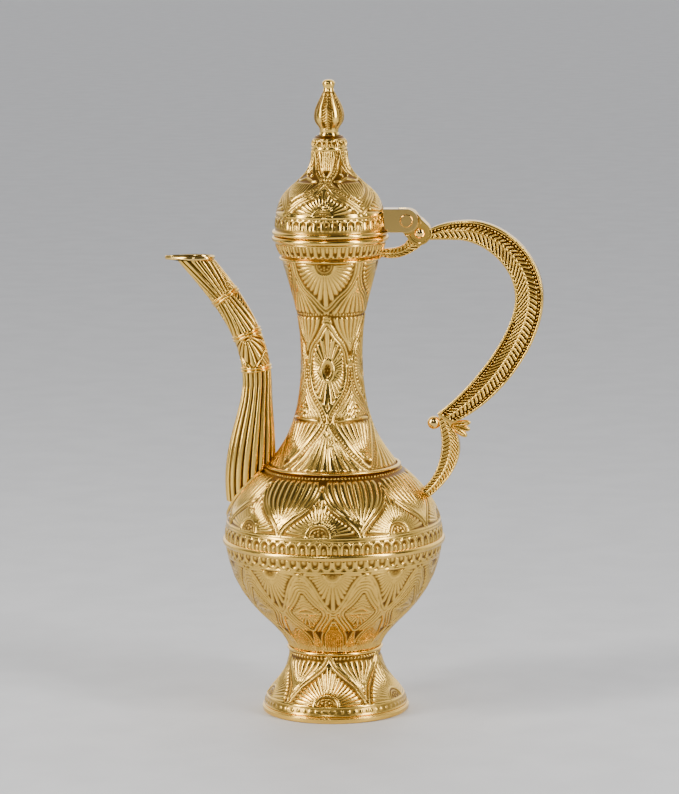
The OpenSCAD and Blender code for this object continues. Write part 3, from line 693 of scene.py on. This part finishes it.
def lid():
    s = Sheet(outline("lid_dome"), 4, 0.34)
    ogee = s.path([(0, 269), (.07, 266.6), (.18, 263.1), (.32, 260.4), (.425, 257.4),
                   (.5, 254.6)])
    rise = s.path([(.055, 270.6), (.07, 271.8), (.14, 273.4), (.24, 275.8), (.32, 279.4),
                   (.40, 284.6)])
    fall = s.path([(.055, 270.6), (.07, 269.4), (.14, 267.4), (.28, 264.6), (.42, 261.8),
                   (.5, 259.2)])
    s.flutes(0.0, s.path([(.24, 275.6), (.34, 284.8)]), 275.6, 284.9, 7, margin=0.5)
    s.flutes(0.5, s.path([(.49, 257), (.36, 262.4), (.24, 266.0), (.16, 270)]),
             262.6, 269.8, 9, margin=1.6)
    s.wire(s.path([(.5, 271.8), (.42, 271.4), (.3, 270.6), (.2, 270.6)]), 0.8)
    s.wire(s.path([(.5, 277.4), (.44, 275.4), (.39, 273.8), (.43, 273.0)]), 0.65)
    s.sunburst(253.8, 5.0, 11.0, ogee, squash=0.7, margin=1.7, thick=1.2)
    s.wire(ogee, 0.62, offsets=(-0.8, 0.8))
    for path in (rise, fall):
        ribbon_of_beads(s, path, (1.2, -0.7), 0.55, 1.35, 1.6, 0.65)
    s.plain(243.0, 252.9, BELT)
    s.level_wire(244.3, 0.9)
    arches(s, 246.4, 252.0, 42)
    s.level_wire(253.2, 0.8)
    s.level_wire(285.6, 0.8)
    s.plain(286.2, 291.0, -0.4)
    arches(s, 286.9, 290.0, 20)
    turned_shell("lid_embossed", s, "lid_dome", "lid", 12)


def turned_ring(node, body, root):
    """A smooth half-round ring at a CAD ring's place. root is its inner radius."""
    lo, hi = low(node), high(node)
    middle, half = (lo[2] + hi[2]) / 2, (hi[2] - lo[2]) / 2
    turn = np.radians(np.linspace(-90, 90, 15))
    bulge = np.column_stack([root + (hi[0] - root) * np.cos(turn), middle + half * np.sin(turn)])
    inside = [[root - 0.5, middle + 0.8 * half], [root - 0.5, middle - 0.8 * half]]
    piece(node + "_round", body, "embossed_gilt", [node],
          closed_grid(turned(np.vstack([bulge, inside]), 240)))


# ---- Spout ----

SHEETS = ("foot", "lower_bowl", "upper_bowl", "neck", "collar")
POT = np.vstack([outline(node) for node in SHEETS])


def pushed_out(points):
    """Points inside the pot's outline are moved level with it, to just under its surface."""
    r = np.hypot(points[..., 0], points[..., 1])
    edge = np.interp(points[..., 2], POT[:, 1], POT[:, 0]) - UNDER_SKIN
    grow = np.where(r < edge, edge / np.maximum(r, 1), 1)
    return points * np.stack([grow, grow, np.ones_like(grow)], -1)


def spout_path():
    """Rows of [x, z, half width, half thickness] up the middle of the spout."""
    join, mouth = [-38.1, 165.8, 7.5, 7.2], [-69, 230, 7.4, 7.1]
    root = bezier([-43.3, 98, 9.9, 8], [-43, 128, 17.1, 11], [-39, 145.8, 8.5, 8.6], join, 120)
    swan = bezier(join, [-37.6, 187.8, 7.1, 7], [-48, 206, 7.4, 7.1], mouth, 120)
    end = np.array([mouth, [-74.6, 236.4, 7.4, 7.1]])
    return resample(joined(root, swan, end), 420)


def frame_at(path):
    """Unit vectors across the spout, away from the neck, in the XZ plane."""
    t = np.gradient(path[:, :2], axis=0)
    t /= np.linalg.norm(t, axis=1)[:, None]
    return np.column_stack([-t[:, 1], t[:, 0]])


# x and z where the middle of the spout passes each ferrule
FERRULES = {"spout_ring_upper": (-52.2, 211.9), "spout_ring_middle": (-42.9, 191.7),
            "spout_ring_lower": (-38.0, 174.5)}


def place_on(path, point):
    """The index of the path's row nearest to a point."""
    return int(np.argmin(np.hypot(path[:, 0] - point[0], path[:, 1] - point[1])))


def spout_relief(path, v):
    """Relief over (rows, columns). v runs from 0 at the back seam to 1 at the neck seam."""
    s = lengths(path[:, :2])[:, None]
    lower, middle, upper = (s[place_on(path, FERRULES["spout_ring_" + name])]
                            for name in ("lower", "middle", "upper"))
    girth = math.pi * (path[:, 2:3] + path[:, 3:4]) / 2
    width = girth / 2
    x = (v - 0.5) * girth
    off = np.abs(x)
    # The root: nine ribs that run up the side and bend towards the back seam
    spread = (v - 0.5) * (1 - 0.10 * step_between(s, lower - 18, lower))
    root = -1.15 + 1.15 * rounded_ribs(spread * 9.4 + 0.5 + 0.25 * np.sin(s / 21))
    # Above the lower ferrule: a half sun hangs from the middle one between V frames
    up, drop = s - lower, middle - s
    rho, turn = np.hypot(x, drop), np.degrees(np.arctan2(off, drop))
    hub = DEEP + 0.9 * np.maximum(hump(rho - 2.7, 0.6), hump(rho, 1.0))
    sun = np.where(rho < 3.3, hub, DEEP - DEEP * rounded_ribs(turn / 18 + 0.5, 0.8))
    vee = (off / width - up / 11) * width
    side = DEEP - DEEP * rounded_ribs((off + 0.75 * up) / 2.0, 0.8)
    panel = np.where(vee < 0, sun, side)
    panel = np.where(np.abs(vee) < 1.2, DEEP + 0.95 * hump(vee, 0.95), panel)
    # Between the middle and the upper ferrule: flutes spring from the upper one and flare
    t = x / width * (0.45 + 0.6 * (s - middle) / (upper - middle))
    edge = (np.abs(t) - 0.47) * width
    slanting = rounded_ribs((off - 0.9 * (s - middle)) / 2.2)
    flare = np.where(edge < 0, rounded_ribs(t * 7 + 0.5), slanting) - 1
    flare = np.where(np.abs(edge) < 1.0, hump(edge, 1.0) - 1, flare)
    # Above the upper ferrule: long flutes that flare up to the mouth
    t = x / width / (0.42 + 0.7 * np.clip((s - upper) / 26, 0, 1))
    edge = (np.abs(t) - 1) * width
    slanting = rounded_ribs((off + 0.42 * (s - upper)) / 2.3)
    mouth = np.where(edge < 0, rounded_ribs(t * 3.5 + 0.5), slanting) - 1
    mouth = np.where(np.abs(edge) < 0.9, hump(edge, 0.9) - 1, mouth)
    h = np.select([s < lower, s < middle, s < upper], [root, panel, flare], mouth)
    # A plain raised edge along both seams
    inner = step_between(np.minimum(v, 1 - v) * girth, 0.7, 1.3)
    return h * inner - 0.1 * (1 - inner)


def spout():
    # lining_relief colours the spout's inside part way to the tarnish and painted shade
    columns, hidden_rows, lining_depth, lining_relief, seam_gap = 84, 24, -1.15, 0.6, 0.03
    path = spout_path()
    across = frame_at(path)
    top = low("spout_lip")[2] - 0.02
    angle = np.linspace(0, math.pi, columns)[None, :]
    chased = spout_relief(path, angle / math.pi)
    relief = np.hstack([np.clip(1 + chased, 0, 1), np.full(chased.shape, lining_relief)])
    for name, side in (("near", -1), ("far", 1)):
        skins = []
        for depth, turn in ((chased, angle), (lining_depth, angle[:, ::-1])):
            w = (path[:, 2:3] + depth) * np.cos(turn)
            y = side * ((path[:, 3:4] + depth) * np.sin(turn) + seam_gap)
            skins.append(np.stack([path[:, :1] + w * across[:, :1], y,
                                   path[:, 1:2] + w * across[:, 1:]], -1))
        grid = np.concatenate(skins, 1)
        grid[..., 2] = np.minimum(grid[..., 2], top)
        grid = pushed_out(grid)
        piece("spout_" + name + "_chased", "pot", "embossed_gilt", ["spout_" + name + "_half"],
              closed_grid(grid[hidden_rows:], relief[hidden_rows:], caps=True, flip=side > 0))
    for node, where in FERRULES.items():
        row = place_on(path, where)
        ferrule(node, path[row], across[row])


def ferrule(node, row, across):
    """Two half-round beads side by side round the spout, at a row of its path."""
    x, z, half_width, half_thickness = row
    along = np.array([across[1], -across[0]])
    angle = np.linspace(0, TAU, 160, endpoint=False)
    height, wide, steps = 0.62, 1.55, 9
    bead = [(height * math.sin(math.pi * k / steps) ** 0.8, wide * k / steps)
            for k in range(steps + 1)]
    section = [(out, rise - wide) for out, rise in bead] + bead[1:] + [(-0.9, 1.5), (-0.9, -1.5)]
    rows = []
    for out, rise in section:
        w = (half_width + out) * np.cos(angle)
        rows.append(np.stack([x + w * across[0] + rise * along[0],
                              (half_thickness + out) * np.sin(angle),
                              z + w * across[1] + rise * along[1]], -1))
    piece(node + "_beaded", "pot", "embossed_gilt", [node],
          closed_grid(np.array(rows), flip=True))


def lip():
    """The pouring lip: a rolled edge round the mouth, drawn out to a beak."""
    lo, hi = low("spout_lip"), high("spout_lip")
    angle = np.linspace(0, TAU, 200, endpoint=False)
    c, s = np.cos(angle), np.sin(angle)
    half_length, beak = 10.3, 4.8 * np.where(c < 0, (-c) ** 5, 0)
    middle = hi[0] - half_length
    section = [(-1.95, 0.3), (-1.95, 1.2), (-1.75, 1.7), (-1.4, 1.85), (-1.1, 1.55),
               (-0.9, 1.35), (-0.7, 1.6), (-0.4, 1.95), (-0.15, 1.8), (0, 1.4), (0, 0.7),
               (-0.12, 0.3), (-0.4, 0.05), (-1.6, 0.05)]
    rows = [np.stack([middle + (half_length + grow + beak) * c, (hi[1] + grow) * s,
                      lo[2] + z + 0 * c], -1) for grow, z in section]
    piece("spout_lip_rolled", "pot", "polished_gilt", ["spout_lip"],
          closed_grid(np.array(rows), flip=True))


# ---- Handle ----

def strap(name, node, outer, inner, thick, spacing, flange, depth, beads=False, clamp=False):
    """A flat casting between two curves in the XZ plane: smooth flanges round a panel of
    chevron ribs. clamp keeps its ends from passing through the pot."""
    step, columns = 0.42, 46
    rows = int(lengths(outer)[-1] / step)
    outer, inner = resample(outer, rows), resample(inner, rows)
    width = np.linalg.norm(outer - inner, axis=1)[:, None]
    s = lengths((outer + inner) / 2)[:, None]
    v = np.linspace(0, 1, columns)[None, :]
    from_outer, from_inner, from_middle = v * width, (1 - v) * width, np.abs(v - 0.5) * width
    h = -depth + (depth - 0.15) * rounded_ribs((s - 0.9 * from_middle) / spacing, 0.85)
    h = np.maximum(h, -depth + (depth + 0.05) * hump(from_middle, 0.75))
    if beads:
        # A row along the outer edge, and from 55 % of the length on along the inner edge too
        pitch = 1.7
        along = np.abs((s / pitch) % 1 - 0.5) * pitch
        for edge, there in ((from_outer, s > 0), (from_inner, s > 0.55 * s[-1])):
            line = np.abs(edge - flange - 0.8)
            row = -depth + 0.9 * depth * hump(np.hypot(line, along), 0.75)
            h = np.where((line < 0.8) & there, -depth, h)
            h = np.maximum(h, np.where(there, row, -depth))
    rim = np.minimum(from_outer, from_inner)
    ends = np.minimum(s, s[-1] - s)
    smooth = np.maximum(1 - step_between(rim, flange * 0.75, flange * 1.05),
                        1 - step_between(ends, 0.8, 1.2))
    h = h * (1 - smooth)
    side = thick / 2 + h - 0.3 * (1 - step_between(rim, 0, 0.4))
    place = outer[:, None] * (1 - v[..., None]) + inner[:, None] * v[..., None]
    near = np.stack([place[..., 0], -side, place[..., 1]], -1)
    far = near[:, ::-1] * [1, -1, 1]
    grid = np.concatenate([near, far], 1)
    relief = np.clip(1 + np.hstack([h, h[:, ::-1]]) / depth, 0, 1)
    if clamp:
        grid = pushed_out(grid)
    piece(name, "pot", "embossed_gilt", [node], closed_grid(grid, relief, caps=True, flip=True))


# x and z of the hinge's pin and of the rivet in the knuckle
PIN = np.array([38.9, 249.7])
RIVET = PIN + [6.3, -6.3]


def handle():
    """The loop from the knuckle over the top and down, and the arm from there to the bowl.
    Points are [x, z]; a name ending in _in lies on the inner edge."""
    start, start_in = RIVET + [5.4, 2.2], RIVET + [5.2, -3.2]
    reach = high("handle_loop")[0]
    top = np.array([0.3 * reach + 0.62 * start[0] + 6.4, PIN[1]])
    top_in = top + [-4, -9.6]
    out, out_in = np.array([reach, 211.2]), np.array([reach - 13.9, 211.2])
    end, end_in = np.array([61.8, 148.0]), np.array([53.6, 152.7])
    outer = joined(
        bezier(start, start + [4.5, 2.6], top - [7, 0], top),
        bezier(top, top + [0.49 * (out[0] - top[0]), 0], out + [0, 0.55 * (top[1] - out[1])],
               out, 60),
        bezier(out, out - [0, 0.365 * (out[1] - end[1])],
               end + [0.53 * (out[0] - end[0]), 0.17 * (out[1] - end[1])], end, 60))
    inner = joined(
        bezier(start_in, start_in + [5, 0.2], top_in - [5, -0.2], top_in),
        bezier(top_in, top_in + [0.45 * (out_in[0] - top_in[0]), -1.2],
               out_in + [0, 0.55 * (top_in[1] - out_in[1])], out_in, 60),
        bezier(out_in, out_in - [0, 0.29 * (out_in[1] - end_in[1])],
               end_in + [0.46 * (out_in[0] - end_in[0]), 0.23 * (out_in[1] - end_in[1])],
               end_in, 60))
    strap("handle_loop_chased", "handle_loop", outer, inner, 7.6, 2.4, 1.35, 1.3, beads=True)
    root, root_in = end + [-0.6, -0.15], end_in + [0.3, -0.15]
    foot_z = 112.7
    foot_x = np.interp(foot_z, POT[:, 1], POT[:, 0])
    bend, bend_in = root + [-1.2, -1.2], root_in + [0.8, -6.7]
    outer = joined(np.array([root, bend]),
                   bezier(bend, root + [6.4, -9.8], [foot_x + 19.8, foot_z + 11.4],
                          [foot_x + 2.6, foot_z - 2.6], 40))
    inner = joined(np.array([root_in, bend_in]),
                   bezier(bend_in, root_in + [3.2, -15.8], [foot_x + 8.3, foot_z + 8.4],
                          [foot_x - 2.2, foot_z + 0.8], 40))
    strap("handle_arm_chased", "handle_lower_arm", outer, inner, 6.8, 2.0, 0.8, 0.8, clamp=True)
    leaf(end + [-2.5, -1.1])
    ball(root_in[0] - 2.4, 147.6)


def leaf(root):
    """Three drop-shaped lobes, each domed, with a crease down its middle."""
    length, half_width, half_thickness, shy = 10.8, 2.1, 1.6, 0.02
    u = np.linspace(shy, math.pi - shy, 40)[:, None]
    turn = np.linspace(0, TAU, 40, endpoint=False)[None, :]
    x = length / 2 * (1 - np.cos(u))
    wide = half_width * np.sin(u) * np.sqrt(0.08 + 0.92 * (1 - np.cos(u)) / 2)
    z = wide * np.cos(turn)
    crease = 1 - 0.45 * np.exp(-(z / 0.35) ** 2) * np.sin(u)
    y = half_thickness * np.sqrt(np.sin(u)) * np.sin(turn) * crease
    # The crease's low relief values paint tarnish and shade down it
    relief = np.clip(crease * 1.3 - 0.3, 0, 1)
    lobes = []
    for tilt in (5, -15, -35):
        c, s = math.cos(math.radians(tilt)), math.sin(math.radians(tilt))
        grid = np.stack([root[0] + x * c - z * s, y, root[1] + x * s + z * c], -1)
        lobes.append(closed_grid(grid, relief, caps=True, flip=True))
    piece("handle_leaf_lobes", "pot", "embossed_gilt", ["handle_leaf"], *lobes)


def ball(x, z, radius=3.4, shank_radius=1.15):
    """The ball-headed screw: a ball and the shank that runs from it into the handle."""
    shy = 0.04
    u = np.linspace(shy, math.pi - shy, 36)
    turn = np.linspace(0, TAU, 64, endpoint=False)
    skins = []
    for along, r in ((-radius * np.cos(u), radius * np.sin(u)),
                     (np.linspace(2.5, 7.2, 4), np.full(4, shank_radius))):
        along, r = along[:, None], r[:, None]
        grid = np.stack([x + along + 0 * turn, r * np.cos(turn), z + r * np.sin(turn)], -1)
        skins.append(closed_grid(grid, caps=True))
    piece("handle_ball_polished", "pot", "polished_gilt", ["handle_ball_screw"], *skins)


def strut():
    """The sickle between the collar and the underside of the knuckle."""
    root = np.array([24.6, 231.9])
    under = bezier(root, root + [8, -2.6], RIVET + [-5, -11.5], RIVET + [1.5, -5.6], 40)
    over = bezier(root + [0, 3.4], root + [8, 3.6], RIVET + [-7, -7.4], RIVET + [-5.3, -1.4], 40)
    strap("neck_strut_chased", "neck_strut", under, over, 6.0, 2.0, 0.7, 0.7, clamp=True)


# ---- Finial and rings ----

def finial():
    """A drop with five upright panels of slanting ribs between rows of beads."""
    s = Sheet(outline("finial")[:-4], 5, 0.24, ground=0.0)
    bottom, top = low("finial")[2], high("finial")[2]
    panel = (s.y > s.level(bottom + 4)) & (s.y < s.level(top - 6.2))
    half = 0.27 * s.pitch
    ribs = DEEP + 0.8 * rounded_ribs((s.y + 0.8 * s.x) / 1.5, 0.75)
    band = np.where((s.x < half) & panel, ribs, 0)
    band = np.where((s.x < 0.25) & panel, -0.05, band)
    band = np.where((np.abs(s.x - half) < 0.5) & panel, -0.7, band)
    pitch = 1.15
    row = np.hypot(s.x - half, np.abs((s.y / pitch) % 1 - 0.5) * pitch)
    s.h = np.maximum(band, np.where(panel, DEEP - DEEP * hump(row, 0.5), -1))
    for z in (2.3, 22.3):
        s.h -= 0.3 * hump(s.y - s.level(bottom + z), 0.4)
    h, angle, out = s.full(), s.angles(), normals(s.curve)
    r = np.maximum(s.r[:, None] + h * out[:, :1], 0.05)
    grid = np.stack([r * np.sin(angle), -r * np.cos(angle), s.z[:, None] + h * out[:, 1:]], -1)
    piece("finial_chased", "lid", "embossed_gilt", ["finial"],
          closed_grid(grid, np.clip(1 + h / 0.6, 0, 1), caps=True))


def base_ring():
    """The rolled edge that the foot stands on, with a groove round it."""
    skin = outline("foot_base_ring")
    root = high("foot_base_ring")[0] - 2.9
    groove = 0.25 * hump(skin[:, 1] - 2.75, 0.3)
    profile = np.vstack([np.column_stack([skin[:, 0] - groove, skin[:, 1]])[::6],
                         [[root, skin[-1, 1]], [root, skin[0, 1]]]])
    piece("foot_base_rolled", "pot", "embossed_gilt", ["foot_base_ring"],
          closed_grid(turned(profile, 300)))


# Body and inner radius of each ring
RINGS = {"foot_neck_ring": ("pot", 23.2), "belly_ring": ("pot", 55.0),
         "shoulder_ring": ("pot", 33.2), "throat_ring": ("pot", 24.7),
         "mouth_ring": ("pot", 28.2), "lid_rim_ring": ("lid", 28.0)}


def main():
    foot()
    lower_bowl()
    upper_bowl()
    neck()
    collar()
    lid()
    for node, (body, root) in RINGS.items():
        turned_ring(node, body, root)
    base_ring()
    strut()
    spout()
    lip()
    handle()
    finial()


# ---- Setting: pale floor, soft studio light, camera ----

FLOOR_REACH = 60.0
# Name, place, size, power in watts and colour of each lamp; all face the ewer's middle
LAMPS = (("key_left", (-1.1, -0.7, 0.75), (0.30, 1.3), 25, (1.0, 0.98, 0.94)),
         ("fill_right", (1.0, -0.55, 0.7), (0.20, 1.2), 16, (1, 1, 1)),
         ("front_strip", (-0.25, -1.9, 1.6), (0.2, 0.7), 8, (1, 1, 1)))
LAMP_TARGET = (0, 0, 0.16)
# The photograph's camera, solved from the ewer's outline: focal length and picture height
# in pixels, the point it looks at, its distance, and its angles in degrees
FOCAL, PICTURE = 3700, 794
LOOK_AT, DISTANCE = (0, 0, 0.16004), 1.86415
AZIMUTH, PITCH, ROLL, AIM_RIGHT = 8.0, 8.6, -0.65, 0.113


def floor():
    material = bpy.data.materials.new("paper")
    material.use_nodes = True
    tree = material.node_tree
    shader = tree.nodes["Principled BSDF"]
    tone = ramp(tree, noise(tree, 30.0), 0.3, 0.7)
    colour = mix(tree, "RGBA", (0.60, 0.60, 0.605, 1), (0.64, 0.64, 0.645, 1), tone)
    tree.links.new(colour, shader.inputs["Base Color"])
    shader.inputs["Roughness"].default_value = 0.6
    corners = np.array([[-1, -1, 0], [1, -1, 0], [1, 1, 0], [-1, 1, 0]]) * FLOOR_REACH
    table = mesh_object("studio_floor", corners / MM, [np.array([[0, 1, 2, 3]])], np.ones(4))
    table.data.materials.append(material)


def lamp(name, place, size, power, colour):
    light = bpy.data.lights.new(name, "AREA")
    light.shape = "RECTANGLE"
    light.size, light.size_y = size
    light.energy = power
    light.color = colour
    obj = bpy.data.objects.new(name, light)
    obj.location = place
    facing = Vector(LAMP_TARGET) - Vector(place)
    obj.rotation_euler = facing.to_track_quat("-Z", "Y").to_euler()
    bpy.context.scene.collection.objects.link(obj)


def camera():
    data = bpy.data.cameras.new("camera")
    data.sensor_fit = "VERTICAL"
    data.sensor_height = 36
    data.lens = data.sensor_height * FOCAL / PICTURE
    data.clip_end = 100
    obj = bpy.data.objects.new("camera", data)
    bpy.context.scene.collection.objects.link(obj)
    turn, pitch, roll, aim = (math.radians(v) for v in (AZIMUTH, PITCH, ROLL, AIM_RIGHT))
    back = Vector((math.sin(turn) * math.cos(pitch), -math.cos(turn) * math.cos(pitch),
                   math.sin(pitch)))
    place = Vector(LOOK_AT) + back * DISTANCE
    up, forward = Vector((0, 0, 1)), -back
    forward = (forward + forward.cross(up).normalized() * math.tan(aim)).normalized()
    right = forward.cross(up).normalized()
    above = right.cross(forward)
    x_axis = right * math.cos(roll) + above * math.sin(roll)
    y_axis = above * math.cos(roll) - right * math.sin(roll)
    axes = Matrix((x_axis, y_axis, -forward)).transposed()
    obj.matrix_world = Matrix.Translation(place) @ axes.to_4x4()
    bpy.context.scene.camera = obj


def world():
    """A room that is bright behind and above the object and dim in front of it."""
    scene = bpy.context.scene
    scene.world = bpy.data.worlds.new("studio")
    scene.world.use_nodes = True
    tree = scene.world.node_tree
    where = tree.nodes.new("ShaderNodeTexCoord")
    split = tree.nodes.new("ShaderNodeSeparateXYZ")
    tree.links.new(where.outputs["Generated"], split.inputs["Vector"])
    depth = ramp(tree, split.outputs["Y"], -0.1, 0.8)
    colour = mix(tree, "RGBA", (0.035, 0.035, 0.04, 1), (1.7, 1.71, 1.75, 1), depth)
    tree.links.new(colour, tree.nodes["Background"].inputs["Color"])


finish_cad()
main()
floor()
for each in LAMPS:
    lamp(*each)
world()
camera()
